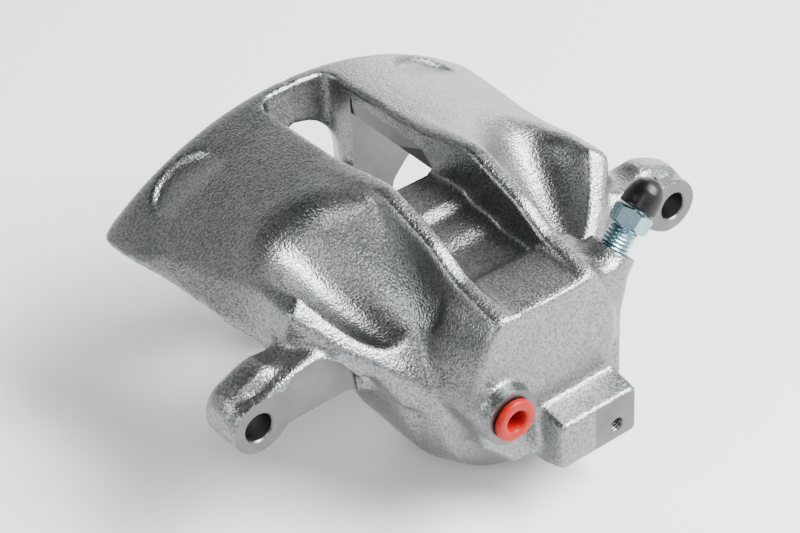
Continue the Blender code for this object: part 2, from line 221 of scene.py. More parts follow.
def scoop():
    """Distance to a scoop's ellipsoid; good near its surface, which is where it is used."""
    level = math.cos(SCOOP_TILT)
    along = Vector((math.sin(SCOOP_YAW) * level, math.cos(SCOOP_YAW) * level, math.sin(SCOOP_TILT)))
    across = Vector((math.cos(SCOOP_YAW), -math.sin(SCOOP_YAW), 0.0))
    place = []
    for axis, radius in zip((across, along, across.cross(along)), SCOOP_RADII):
        start = axis.dot(Vector(SCOOP_CENTRE))
        place.append((axis.x * SIDE + axis.y * Y + axis.z * Z - start) / radius)
    place[0] = np.where(place[0] < 0.0, place[0] * SCOOP_INNER, place[0])
    k0 = np.sqrt(sum(p * p for p in place))
    k1 = np.sqrt(sum((p / r) ** 2 for p, r in zip(place, SCOOP_RADII)))
    return k0 * (k0 - 1.0) / np.maximum(k1, 1e-6)


def plane(normal, offset):
    """Distance past a plane, with the normal's X taken outward on either side."""
    a, b, c = Vector(normal).normalized()
    return a * SIDE + b * Y + c * Z - offset


def smooth_curve(v, points, reach=2.5):
    """Values read off a bent line through (v, value) points, with its corners eased."""
    at, values = zip(*points)
    total = 0.0
    shifts = np.linspace(-reach, reach, 7)
    for shift in shifts:
        total = total + np.interp(v + shift, at, values)
    return (total / len(shifts)).astype(np.float32)


def dome(x):
    return DOME_TOP - DOME_R + np.sqrt(DOME_R**2 - x**2)


def bridge_top():
    """Height of the bridge's cast upper surface over X and Y."""
    rise = [(-50.0, 5.4), (21.0, 5.4), (26.0, 5.0), (32.0, 3.6), (40.0, 2.5), (46.0, 1.7), (52.0, 1.2)]
    rise += [(65.0, 0.7), (77.0, 0.0), (110.0, 0.0)]
    top = dome(np.minimum(SIDE, 100.0)) + smooth_curve(Y, rise)
    (mid_x, mid_y), (radius_x, radius_y) = POCKET_CENTRE, POCKET_RADII
    rim = np.sqrt(((SIDE - mid_x) / radius_x) ** 2 + ((Y - mid_y) / radius_y) ** 2)
    pocket = soft_step(74.0, 88.0, Y) * (1.0 - soft_step(0.93, 1.03, rim))
    return top - POCKET_DEPTH * pocket


def bridge():
    """The arch over the disc, with its flared sides, as far back as the shoulders."""
    top = bridge_top()
    over = (Z - top) / np.sqrt(1.0 + (SIDE / DOME_R) ** 2)
    upper = smooth_curve(Y, EDGE_WIDTH)
    lower = smooth_curve(Y, FOOT_WIDTH)
    fall = np.clip((dome(62.0) + 2.0 - Z) / 10.0, -0.5, 1.3)
    side = (SIDE - upper - (lower - upper) * fall) * 0.86
    body = soft_max(over, side, 0.8)
    body = soft_max(body, Y - OUTBOARD + 0.4, 7.0)
    near_foot = -11.0 + 13.0 * soft_step(35.0, 44.0, SIDE)
    far_foot = np.interp(SIDE, (34.0, 40.0, 50.0, 67.0, 75.0), (0.3, 3.6, 6.4, 9.6, 9.0))
    foot = near_foot + (far_foot - near_foot) * soft_step(10.0, 22.0, Y)
    body = soft_max(body, foot.astype(np.float32) - Z, 1.5)
    rear = [(0.0, -20.0), (21.9, -17.8), (30.5, -14.8), (39.2, -8.6), (50.0, -1.2), (54.4, 3.0)]
    rear += [(59.3, 7.4), (64.0, 12.5), (69.0, 20.0), (80.0, 40.0), (80.0, 110.0), (0.0, 110.0)]
    return soft_max(body, outline(SIDE, Y, rear), 0.8)


def outboard_wall():
    """The crescent wall behind the outboard pad, and its two fingers."""
    edge = [(60.0, 12.4), (67.0, 9.6), (50.0, 6.4), (40.0, 3.6), (35.5, 0.3), (29.0, -7.0)]
    edge += [(26.5, -16.0), (25.5, -40.0), (22.5, -46.5), (17.5, FINGER_TIP), (0.0, FINGER_TIP), (0.0, 29.0)]
    face = outline(SIDE, Z, edge)
    return soft_max(face, slab(Y, FINGER_FACE - 2.0, OUTBOARD - 0.6), 4.0)


def finger_notch():
    """The gap between the fingers, wider towards the outside."""
    half = 7.7 + (Y - 74.0) * 0.446
    centre = 16.3 - (Y - 74.0) * 0.60
    notch = (np.sqrt(X**2 + np.maximum(Z - centre, 0.0) ** 2) - half) * 0.88
    return np.maximum(notch, 70.0 - Y)


def cylinder_body():
    """Barrel and the domed end behind it."""
    radius = np.sqrt(X**2 + (Z - BORE_Z) ** 2)
    barrel = soft_max(radius - BARREL_R + 0.3, slab(Y, BARREL_STEP, BARREL_FRONT + 3.0), 3.0)
    end = (radius - smooth_curve(Y, END_PROFILE, 1.5)) * 0.8
    end = soft_max(end, slab(Y, END_REAR, 5.0), 1.5)
    return soft_min(barrel, end, 3.0)


def rear_block():
    """The block behind the ribs that carries the ports, with the flank beside its parting line."""
    right = [(15.5, 25.4), (20.5, 20.5), (23.6, 9.0), (24.5, -7.0), (25.3, -16.0), (25.3, -26.0)]
    left = [(12.0, -32.0), (-14.0, -30.0), (-25.0, -18.0), (-27.5, -4.0), (-25.6, 8.0), (-24.2, 15.5)]
    face = outline(X, Z, right + left + [(-21.8, 21.0), (-16.5, 25.6)])
    block = soft_max(face, slab(Y, REAR_FACE, -13.0), 1.2)
    flank = [(0.0, 24.0), (20.0, 22.5), (30.0, 19.5), (32.0, 9.0), (31.5, -7.0), (31.5, -22.0)]
    flank += [(20.0, -30.0), (0.0, -30.0)]
    beside = soft_max(outline(X, Z, flank), slab(Y, REAR_FACE + 3.2, -6.0), 2.5)
    beside = soft_max(beside, (X - 23.5 - (Y - REAR_FACE) * 2.2) * 0.41, 0.8)
    return soft_min(block, beside, 0.8)


def guide_arm():
    """The arm from the shoulder to a guide eye, the same on either side."""
    web = [(34.0, -14.0), (48.0, -4.6), (70.0, -5.0), (76.0, -6.8), (80.0, -6.8), (80.0, 7.0)]
    web += [(74.0, 11.0), (66.0, 13.0), (57.5, 14.0), (52.0, 10.4), (46.5, 3.2), (40.0, -4.0)]
    web += [(34.0, -6.0)]
    arm = soft_max(outline(SIDE, Z, web), slab(Y, 0.0, EYE_DEPTH - 0.4), 1.6)
    arm = soft_max(arm, plane(BAND_NORMAL, BAND_OFFSET - 1.5), 1.2)
    boss = soft_max(np.sqrt((SIDE - EYE_X) ** 2 + Z**2) - EYE_R + 0.25, slab(Y, -0.8, EYE_DEPTH), 1.2)
    back = [(66.0, 12.0), (72.0, 14.6), (76.0, 14.0), (81.0, 11.9), (86.0, 9.0), (88.0, 5.2), (88.3, -0.7)]
    back += [(86.3, -5.3), (80.0, -8.0), (66.0, -6.0)]
    bulge = soft_max(outline(SIDE, Z, back), slab(Y, 4.5, EYE_DEPTH), 3.4)
    boss = soft_min(boss, bulge, 1.6)
    return soft_min(arm, boss, 2.5)


def rib_crest():
    """Height of the ribs beside the channel, along Y."""
    crest = [(-34.0, 25.8), (-23.0, 28.2), (-15.0, 29.6), (-9.0, 33.0), (-4.0, 36.2), (6.0, 39.4)]
    crest += [(16.0, 42.4), (21.0, 43.2), (33.0, 41.0), (45.0, 37.8), (52.0, 36.6)]
    return smooth_curve(Y, crest, 2.0)


def ribs():
    """The two ribs and what fills the space between them, before the channel is cut."""
    spine = soft_max(SIDE - RIB_X, Z - rib_crest(), 1.6)
    return soft_max(soft_max(spine, slab(Y, -33.0, 50.0), 2.0), 4.0 - Z, 2.0)


def flanks():
    """What slopes down from the ribs to the shoulders, before the scoops are cut."""
    foot = rib_crest() - 2.6
    slope = (SIDE - RIB_X - 0.30 * (foot - Z)) * 0.95
    slope = soft_max(slope, Z - np.minimum(foot, dome(SIDE) + 2.0), 1.0)
    return soft_max(soft_max(slope, slab(Y, -33.0, 34.0), 1.5), -4.0 - Z, 1.5)


def channel():
    """The space between the ribs, with its stepped floor, and the window."""
    floor = [(-40.0, 25.2), (-13.4, 26.2), (-10.8, 22.6), (3.0, 22.6), (8.0, 24.3), (12.0, 24.8)]
    floor += [(16.5, 24.6), (20.5, 27.0), (28.0, 27.0), (33.0, 26.0), (40.0, 26.0)]
    floor_z = smooth_curve(Y, floor, 1.2)
    space = soft_max(SIDE - WINDOW_X, floor_z - Z, 1.6)
    space = soft_max(space, Y - WINDOW_NEAR - 4.0, 1.0)
    corner = 5.0
    span_y = (WINDOW_NEAR + 2.0 + WINDOW_FAR) / 2
    u = SIDE - (WINDOW_X - corner)
    v = np.abs(Y - span_y) - (WINDOW_FAR - WINDOW_NEAR - 2.0) / 2 + corner
    outside = np.sqrt(np.maximum(u, 0.0) ** 2 + np.maximum(v, 0.0) ** 2)
    box = np.minimum(np.maximum(u, v), 0.0) + outside - corner
    window = np.maximum(box, 6.0 - Z)
    return soft_min(space, window, 1.5)


def hose_lug():
    side = [(LUG_FACE, -30.5), (LUG_FACE, -14.3), (-34.0, -12.2), (-20.0, -12.2), (-20.0, -33.0)]
    side += [(-36.0, -33.5)]
    return soft_max(outline(Y + 0.0 * Z, Z + 0.0 * Y, side), slab(X, -5.0, 24.3), 0.9)


def port_boss():
    radius = np.sqrt((X - PORT_X) ** 2 + (Z - PORT_Z) ** 2)
    return soft_max(radius - 9.2, slab(Y, PORT_FACE - 2.0, -20.0), 0.6)


def bleed_boss():
    turn = ALONG_BLEED.inverted()
    local = [turn[i][0] * X + turn[i][1] * Y + turn[i][2] * Z + turn[i][3] for i in range(3)]
    radius = np.sqrt(local[0] ** 2 + local[1] ** 2)
    return soft_max((radius - 7.6 + 0.12 * local[2]) * 0.99, slab(local[2], -26.0, 1.5), 1.2)


def casting():
    """The cast body before machining."""
    body = soft_max(soft_min(bridge(), outboard_wall(), 2.0), -finger_notch(), 2.4)
    body = soft_min(body, cylinder_body(), 2.5)
    body = soft_max(body, plane(BAND_NORMAL, BAND_OFFSET), 0.8)
    radius = np.sqrt(X**2 + (Z - BORE_Z) ** 2)
    core = soft_max(radius - smooth_curve(Y, END_PROFILE, 1.5) + 1.0, slab(Y, END_REAR, 20.0), 1.5)
    body = soft_min(body, core, 5.0 - 3.5 * soft_step(-12.0, -4.0, Y))
    body = soft_min(body, flanks(), 3.0)
    body = soft_max(body, -scoop(), 0.8 + 6.5 * soft_step(8.0, 30.0, Y))
    body = soft_min(body, soft_max(radius - BORE_R - 3.0, slab(Y, -20.0, 20.0), 1.5), 1.5)
    body = soft_min(body, rear_block(), 3.5)
    body = soft_min(body, ribs(), 1.6)
    body = soft_min(body, guide_arm(), 3.5)
    body = soft_min(body, bleed_boss(), 4.0)
    body = soft_max(body, -channel(), 1.2)
    body = soft_min(body, hose_lug(), 1.6)
    return soft_min(body, port_boss(), 2.5)


def eased(field):
    """The field smoothed over its neighbours, which rounds every edge a little, as sand does."""
    for axis in range(3):
        padded = np.pad(field, [(1, 1) if a == axis else (0, 0) for a in range(3)], mode="edge")
        field = (
            np.take(padded, range(0, field.shape[axis]), axis)
            + 2.0 * field
            + np.take(padded, range(2, field.shape[axis] + 2), axis)
        ) / 4.0
    return field


def meshed(name, field):
    """The field's zero surface as a mesh in millimetres."""
    grid = openvdb.FloatGrid()
    grid.copyFromArray(np.ascontiguousarray(field, np.float32))
    grid.transform = openvdb.createLinearTransform(VOXEL)
    points, quads = grid.convertToQuads(isovalue=0.0)
    mesh = bpy.data.meshes.new(name)
    mesh.from_pydata((points + np.array(GRID_LOW)).tolist(), [], quads[:, ::-1].tolist())
    mesh.validate()
    return mesh


# ---------------------------------------------------------------- meshes and pieces

def piece_from(name, mesh, materials):
    """An object in the row frame from a mesh in millimetres from the datum."""
    mesh.transform(TO_ROW)
    made = bpy.data.objects.new(name, mesh)
    bpy.context.scene.collection.objects.link(made)
    for slot in materials:
        mesh.materials.append(slot)
    return made


def mesh_from(name, bm):
    bmesh.ops.recalc_face_normals(bm, faces=bm.faces[:])
    mesh = bpy.data.meshes.new(name)
    bm.to_mesh(mesh)
    bm.free()
    return mesh


def lathe(profile, place, steps=96):
    """A solid of revolution from (radius, distance along the axis) points."""
    bm = bmesh.new()
    points = [bm.verts.new((radius, 0.0, along)) for radius, along in profile]
    pairs = list(zip(points, points[1:]))
    if profile[0][0] > 0.0:
        pairs.append((points[-1], points[0]))
    edges = [bm.edges.new(pair) for pair in pairs]
    whole = 2.0 * math.pi
    bmesh.ops.spin(bm, geom=points + edges, axis=(0.0, 0.0, 1.0), angle=whole, steps=steps, use_merge=True)
    bmesh.ops.remove_doubles(bm, verts=bm.verts[:], dist=0.0001)
    bmesh.ops.transform(bm, matrix=place, verts=bm.verts[:])
    return bm


def rounded(profile, radius, steps=3):
    """A turned profile with its corners off the axis rounded."""
    result = [profile[0]]
    for before, corner, after in zip(profile, profile[1:], profile[2:]):
        corner = Vector(corner)
        to_before, to_after = Vector(before) - corner, Vector(after) - corner
        reach = min(radius, 0.45 * to_before.length, 0.45 * to_after.length)
        start = corner + to_before.normalized() * reach
        end = corner + to_after.normalized() * reach
        for i in range(steps + 1):
            t = i / steps
            result.append(tuple((1 - t) ** 2 * start + 2 * t * (1 - t) * corner + t * t * end))
    return result + [profile[-1]]


def prism(points, axis, low, high):
    """A flat outline extruded along an axis; its two coordinates are the others, in order."""
    spread = {"X": (1, 2), "Y": (0, 2), "Z": (0, 1)}[axis]
    along = "XYZ".index(axis)
    bm = bmesh.new()
    rim = []
    for pair in points:
        place = [0.0, 0.0, 0.0]
        place[spread[0]], place[spread[1]] = pair
        place[along] = low
        rim.append(bm.verts.new(place))
    face = bm.faces.new(rim)
    grown = bmesh.ops.extrude_face_region(bm, geom=[face])["geom"]
    step = Vector((0.0, 0.0, 0.0))
    step[along] = high - low
    bmesh.ops.translate(bm, vec=step, verts=[part for part in grown if isinstance(part, bmesh.types.BMVert)])
    return bm


def rectangle(low_u, low_v, high_u, high_v):
    return [(low_u, low_v), (high_u, low_v), (high_u, high_v), (low_u, high_v)]


def disc(radius, low, high, place, steps=48):
    """A plain round cutter."""
    return lathe([(0.0, low), (radius, low), (radius, high), (0.0, high)], place, steps)


def cut(target, shapes, operation="DIFFERENCE"):
    """Apply one Boolean for each shape; new faces take the second material slot."""
    for name, bm in shapes.items():
        mesh = mesh_from(name, bm)
        tool = piece_from(name, mesh, target.data.materials[:])
        if len(mesh.materials) > 1:
            mesh.polygons.foreach_set("material_index", [1] * len(mesh.polygons))
        change = target.modifiers.new(name, "BOOLEAN")
        change.object = tool
        change.operation = operation
        change.solver = "MANIFOLD"
        applied = bpy.data.meshes.new_from_object(target.evaluated_get(bpy.context.evaluated_depsgraph_get()))
        target.modifiers.clear()
        old = target.data
        target.data = applied
        bpy.data.meshes.remove(old)
        bpy.data.objects.remove(tool)


def smooth_shaded(obj, angle):
    obj.data.shade_smooth()
    obj.data.set_sharp_from_angle(angle=math.radians(angle))


def turned_piece(name, node, body, profile, place, material, steps=96, sharp=32.0):
    """A lathe-turned piece that takes the place of a CAD node, riding on a body if one is named."""
    made = piece_from(name, mesh_from(name, lathe(profile, place, steps)), [material])
    smooth_shaded(made, sharp)
    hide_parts(node)
    if body:
        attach(made, body)
    return made


# ---------------------------------------------------------------- materials

class Shader:
    """A Principled material under construction, with short calls for the nodes used here."""

    def __init__(self, name, roughness=0.5, metallic=0.0):
        self.material = bpy.data.materials.new(name)
        self.material.use_nodes = True
        self.tree = self.material.node_tree
        self.surface = self.tree.nodes["Principled BSDF"]
        self.surface.inputs["Roughness"].default_value = roughness
        self.surface.inputs["Metallic"].default_value = metallic
        self.place = self.tree.nodes.new("ShaderNodeTexCoord").outputs["Object"]

    def node(self, kind, **settings):
        made = self.tree.nodes.new("ShaderNode" + kind)
        for key, value in settings.items():
            setattr(made, key, value)
        return made

    def link(self, source, target):
        self.tree.links.new(source, target)

    def scaled(self, factors):
        made = self.node("Mapping")
        made.inputs["Scale"].default_value = factors
        self.link(self.place, made.inputs["Vector"])
        return made.outputs["Vector"]

    def noise(self, size, detail=3.0, roughness=0.55, stretch=None):
        """Soft noise whose lumps are about this many metres across."""
        made = self.node("TexNoise")
        made.inputs["Scale"].default_value = 1.0 / size
        made.inputs["Detail"].default_value = detail
        made.inputs["Roughness"].default_value = roughness
        self.link(self.scaled(stretch) if stretch else self.place, made.inputs["Vector"])
        return made.outputs["Fac"]

    def range(self, value, low, high, to_low, to_high):
        made = self.node("MapRange")
        for key, number in zip(("From Min", "From Max", "To Min", "To Max"), (low, high, to_low, to_high)):
            made.inputs[key].default_value = number
        self.link(value, made.inputs["Value"])
        return made.outputs["Result"]

    def ramp(self, value, *stops):
        made = self.node("ValToRGB")
        band = made.color_ramp
        while len(band.elements) < len(stops):
            band.elements.new(0.5)
        for element, (at, colour) in zip(band.elements, stops):
            element.position = at
            element.color = (*colour, 1.0)
        self.link(value, made.inputs["Fac"])
        return made.outputs["Color"]

    def mixed(self, factor, first, second):
        made = self.node("Mix", data_type="RGBA")
        self.link(factor, made.inputs["Factor"])
        for socket, value in ((made.inputs[6], first), (made.inputs[7], second)):
            if isinstance(value, tuple):
                socket.default_value = (*value, 1.0)
            else:
                self.link(value, socket)
        return made.outputs[2]

    def bump(self, height, depth, strength=1.0, after=None):
        """Relief of this many metres, on top of another relief if one is given."""
        made = self.node("Bump")
        made.inputs["Strength"].default_value = strength
        made.inputs["Distance"].default_value = depth
        self.link(height, made.inputs["Height"])
        if after:
            self.link(after, made.inputs["Normal"])
        return made.outputs["Normal"]

    def done(self, colour=None, roughness=None, normal=None):
        if isinstance(colour, tuple):
            self.surface.inputs["Base Color"].default_value = (*colour, 1.0)
        elif colour:
            self.link(colour, self.surface.inputs["Base Color"])
        if roughness:
            self.link(roughness, self.surface.inputs["Roughness"])
        if normal:
            self.link(normal, self.surface.inputs["Normal"])
        return self.material


def cast_metal():
    """Zinc plate over a sand-cast skin: fine sparkling grain over soft lumps."""
    s = Shader("cast_zinc", metallic=1.0)
    deep, middle, bright = (0.220, 0.240, 0.242), (0.256, 0.269, 0.263), (0.284, 0.289, 0.280)
    cloud = s.noise(0.020, 3.0, 0.6)
    lump = s.noise(0.0030, 2.0, 0.5)
    grain = s.noise(0.00075, 1.0, 0.7)
    colour = s.ramp(cloud, (0.3, deep), (0.5, middle), (0.7, bright))
    colour = s.mixed(s.range(grain, 0.36, 0.60, 0.62, 0.0), colour, (0.05, 0.056, 0.058))
    rough = s.range(cloud, 0.3, 0.7, 0.30, 0.38)
    normal = s.bump(lump, 0.00015)
    normal = s.bump(grain, 0.00020, after=normal)
    return s.done(colour, rough, normal)


def machined_metal():
    """The same plate over milled faces, with faint tool marks."""
    s = Shader("cast_zinc_machined", metallic=1.0)
    marks = s.noise(0.0006, 2.0, 0.5, (0.25, 1.0, 1.0))
    cloud = s.noise(0.012, 3.0, 0.6)
    colour = s.ramp(cloud, (0.3, (0.115, 0.116, 0.114)), (0.7, (0.150, 0.150, 0.146)))
    rough = s.range(marks, 0.3, 0.7, 0.30, 0.42)
    return s.done(colour, rough, s.bump(marks, 0.00003))


def turned_steel(name, colour, dark, roughness):
    s = Shader(name, metallic=1.0)
    marks = s.noise(0.0009, 2.0, 0.5, (0.3, 1.0, 0.3))
    cloud = s.noise(0.008, 2.0)
    shade = s.mixed(s.range(cloud, 0.35, 0.65, 0.0, 1.0), dark, colour)
    rough = s.range(marks, 0.3, 0.7, roughness - 0.05, roughness + 0.06)
    return s.done(shade, rough, s.bump(marks, 0.00002))


def rubber(name, colour, roughness):
    s = Shader(name)
    speck = s.noise(0.0004, 3.0, 0.6)
    cloud = s.noise(0.006, 2.0)
    light = tuple(1.6 * c + 0.001 for c in colour)
    rough = s.range(cloud, 0.3, 0.7, roughness - 0.06, roughness + 0.08)
    s.surface.inputs["Specular IOR Level"].default_value = 0.28
    return s.done(s.mixed(cloud, colour, light), rough, s.bump(speck, 0.00002))


def plug_plastic():
    s = Shader("plug_plastic")
    speck = s.noise(0.0005, 3.0, 0.6)
    cloud = s.noise(0.004, 2.0)
    colour = s.mixed(cloud, (0.26, 0.002, 0.0004), (0.32, 0.004, 0.0008))
    rough = s.range(cloud, 0.3, 0.7, 0.34, 0.46)
    s.surface.inputs["Specular IOR Level"].default_value = 0.25
    return s.done(colour, rough, s.bump(speck, 0.00002))


def blue_zinc():
    """Bright zinc with a blue passivation, mottled in soft patches between teal and blue."""
    s = Shader("zinc_steel", metallic=1.0)
    cloud = s.noise(0.003, 2.0)
    speck = s.noise(0.0004, 2.0)
    colour = s.mixed(cloud, (0.16, 0.30, 0.32), (0.32, 0.44, 0.52))
    return s.done(colour, s.range(speck, 0.3, 0.7, 0.2, 0.3), s.bump(speck, 0.000004))


# ---------------------------------------------------------------- the casting

def disc_slot():
    step = PAD_STEP_Y
    profile = [(0.0, BARREL_FRONT), (CEILING_R - PAD_STEP_DROP, BARREL_FRONT)]
    profile += [(CEILING_R - PAD_STEP_DROP, step), (CEILING_R, step), (CEILING_R, FINGER_FACE)]
    profile += [(0.0, FINGER_FACE)]
    return lathe(profile, Matrix.Translation((0.0, 0.0, CEILING_TOP - CEILING_R)) @ ALONG_Y, 360)


def bore_cutter():
    seal_low = SEAL_Y - SEAL_WIDTH / 2 - GAP
    seal_high = SEAL_Y + SEAL_WIDTH / 2 + GAP
    profile = [(0.0, BORE_END), (BORE_R - BORE_TAPER, BORE_END), (BORE_R, BORE_END + BORE_TAPER)]
    profile += [(BORE_R, seal_low), (SEAL_R + GAP, seal_low), (SEAL_R + GAP, seal_high), (BORE_R, seal_high)]
    profile += [(BORE_R, BOOT_SEAT_Y), (BOOT_SEAT_R, BOOT_SEAT_Y), (BOOT_SEAT_R, BARREL_FRONT - 0.8)]
    profile += [(BOOT_SEAT_R + 1.2, BARREL_FRONT + 0.4), (BOOT_SEAT_R + 1.2, BARREL_FRONT + 4.0)]
    return lathe(profile + [(0.0, BARREL_FRONT + 4.0)], BORE_AXIS, 128)


def hole(radius, centre, low, high, chamfer=0.5, steps=48):
    """A hole along Y with its two edges broken; low and high lie on the faces it runs between."""
    wide = radius + chamfer
    profile = [(0.0, low - 3.0), (wide + 3.0 - chamfer, low - 3.0), (radius, low + chamfer)]
    profile += [(radius, high - chamfer), (wide + 3.0 - chamfer, high + 3.0), (0.0, high + 3.0)]
    return lathe(profile, Matrix.Translation(centre) @ ALONG_Y, steps)


def thread_wall(radius, depth, pitch, low, high, steps=40, per_turn=12):
    """A turned thread as a closed solid: a triangle wave wound round the axis."""
    bm = bmesh.new()
    rows = int((high - low) / pitch * per_turn) + 1
    rings = []
    for row in range(rows + 1):
        z = low + (high - low) * row / rows
        ring = []
        for i in range(steps):
            phase = (z / pitch - i / steps) % 1.0
            r = radius - depth * abs(2.0 * phase - 1.0)
            angle = 2.0 * math.pi * i / steps
            ring.append(bm.verts.new((r * math.cos(angle), r * math.sin(angle), z)))
        rings.append(ring)
    for near, far in zip(rings, rings[1:]):
        for i in range(steps):
            j = (i + 1) % steps
            bm.faces.new((near[i], near[j], far[j], far[i]))
    bm.faces.new(list(reversed(rings[0])))
    bm.faces.new(rings[-1])
    return bm


def threaded_hole(radius, depth, pitch, place, low, high):
    bm = thread_wall(radius, depth, pitch, low, high)
    bmesh.ops.transform(bm, matrix=place, verts=bm.verts[:])
    return bm


def housing():
    """The cast body, meshed, machined and given its two finishes."""
    field = eased(casting())
    body = meshed("caliper_casting", field)
    body = piece_from("caliper_casting", body, [cast_metal(), machined_metal()])
    inner_x = WINDOW_X + 0.7
    lug_axis = Matrix.Translation((LUG_HOLE_X, 0.0, LUG_HOLE_Z)) @ ALONG_Y
    chamfer = [(0.0, PORT_FACE - 1.0), (PORT_R + 1.6, PORT_FACE - 1.0), (PORT_R - 0.6, PORT_FACE + 1.2)]
    chamfer += [(0.0, PORT_FACE + 1.2)]
    bleed = [(0.0, -19.0), (1.5, -19.0), (1.5, BLEED_SEAT - 1.0), (4.15, BLEED_SEAT + 2.0)]
    bleed += [(4.15, -0.7), (4.9, 0.2), (4.9, 2.0), (0.0, 2.0)]
    milled = {
        "disc slot": disc_slot(),
        "finger feet": prism(rectangle(-40.0, 60.0, 40.0, 120.0), "Z", -80.0, FINGER_TIP),
        "bore": bore_cutter(),
        "window slot": prism(rectangle(-inner_x, WINDOW_NEAR, inner_x, FINGER_FACE), "Z", 6.0, 32.0),
        "port face": disc(14.0, -60.0, PORT_FACE, PORT_AXIS),
        "port": threaded_hole(PORT_R, 0.5, 1.0, PORT_AXIS, PORT_FACE - 1.0, -29.0),
        "port chamfer": lathe(chamfer, PORT_AXIS, 48),
        "lug face": prism(rectangle(LUG_CAST_X, -40.0, 60.0, 0.0), "Y", -60.0, LUG_FACE + 0.3),
        "lug hole": threaded_hole(2.6, 0.35, 1.0, lug_axis, LUG_FACE - 1.0, -33.0),
        "bleed seat": disc(12.0, 0.0, 9.0, ALONG_BLEED),
        "bleed hole": lathe(bleed, ALONG_BLEED, 48),
    }
    for side, word in ((-1, "left"), (1, "right")):
        centre = (side * EYE_X, 0.0, 0.0)
        eye_axis = Matrix.Translation(centre) @ ALONG_Y
        milled[word + " eye face"] = disc(EYE_R + 3.0, -6.0, 0.0, eye_axis, 64)
        milled[word + " eye bore"] = hole(EYE_BORE_R, centre, 0.0, EYE_DEPTH)
        face = [(44.0, -12.0), (60.0, -12.0), (71.5, -9.0), (70.2, -3.0), (70.2, 3.0), (72.0, 7.5)]
        face += [(66.0, 12.0), (57.5, 13.2), (51.0, 9.0), (46.0, 2.0)]
        milled[word + " web face"] = prism([(side * x, z) for x, z in face], "Y", -6.0, 0.8)
    cut(body, milled)
    smooth_shaded(body, 38.0)
    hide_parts("caliper_housing")
    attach(body, "housing")
    return body


# ---------------------------------------------------------------- the small parts

def piston():
    front, rear, r = PISTON_FRONT, PISTON_FRONT - PISTON_LENGTH, PISTON_R
    groove = front - GROOVE_BACK
    outer = [(0.0, rear), (r - BORE_TAPER, rear), (r, rear + BORE_TAPER), (r, groove - GROOVE_WIDTH)]
    outer += [(r - GROOVE_DEPTH, groove - GROOVE_WIDTH), (r - GROOVE_DEPTH, groove), (r, groove)]
    outer += [(r, front)]
    inner = [(r - CUP_WALL, front), (r - CUP_WALL, rear + 9.0), (r - 8.5, rear + CUP_BOTTOM)]
    inner += [(0.0, rear + CUP_BOTTOM)]
    profile = rounded(outer + inner, 0.7)
    steel = turned_steel("piston_steel", (0.66, 0.65, 0.62), (0.52, 0.51, 0.48), 0.26)
    turned_piece("piston_cup", "piston", "piston", profile, BORE_AXIS, steel, 128)


def seal_and_boot():
    low, high = SEAL_Y - SEAL_WIDTH / 2, SEAL_Y + SEAL_WIDTH / 2
    inner = PISTON_R + GAP
    profile = [(inner, low), (SEAL_R, low), (SEAL_R, high), (inner, high)]
    square = rubber("seal_rubber", (0.012, 0.012, 0.012), 0.5)
    turned_piece("square_seal", "piston_seal", "housing", profile, BORE_AXIS, square)

    outer = BOOT_SEAT_R - GAP
    near, far = BOOT_SEAT_Y + GAP, BARREL_FRONT - 0.4
    profile = [(outer - 1.0, near), (outer, near), (outer, far), (outer - 0.7, far + 0.1)]
    profile += [(outer - 1.3, far - 0.3)]
    ring = turned_steel("ring_steel", (0.60, 0.60, 0.60), (0.44, 0.44, 0.44), 0.3)
    turned_piece("boot_ring", "boot_retaining_ring", "housing", profile, BORE_AXIS, ring, 128)

    groove = PISTON_FRONT - GROOVE_BACK
    lip = PISTON_R - GROOVE_DEPTH + GAP
    seat = BOOT_SEAT_R - 1.3 - GAP
    profile = [(lip, groove - 2.2), (PISTON_R + 0.5, groove - 2.2), (PISTON_R + 0.8, near + 0.4)]
    profile += [(PISTON_R + 1.2, near), (seat, near), (seat, near + 1.3), (PISTON_R + 2.3, near + 1.6)]
    profile += [(PISTON_R + 1.9, groove - 0.3), (PISTON_R + 1.0, groove + 0.2), (lip, groove - 0.3)]
    boot_rubber = rubber("boot_rubber", (0.014, 0.014, 0.014), 0.55)
    boot = turned_piece("dust_boot", "piston_boot", None, profile, BORE_AXIS, boot_rubber, 128)
    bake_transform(boot)


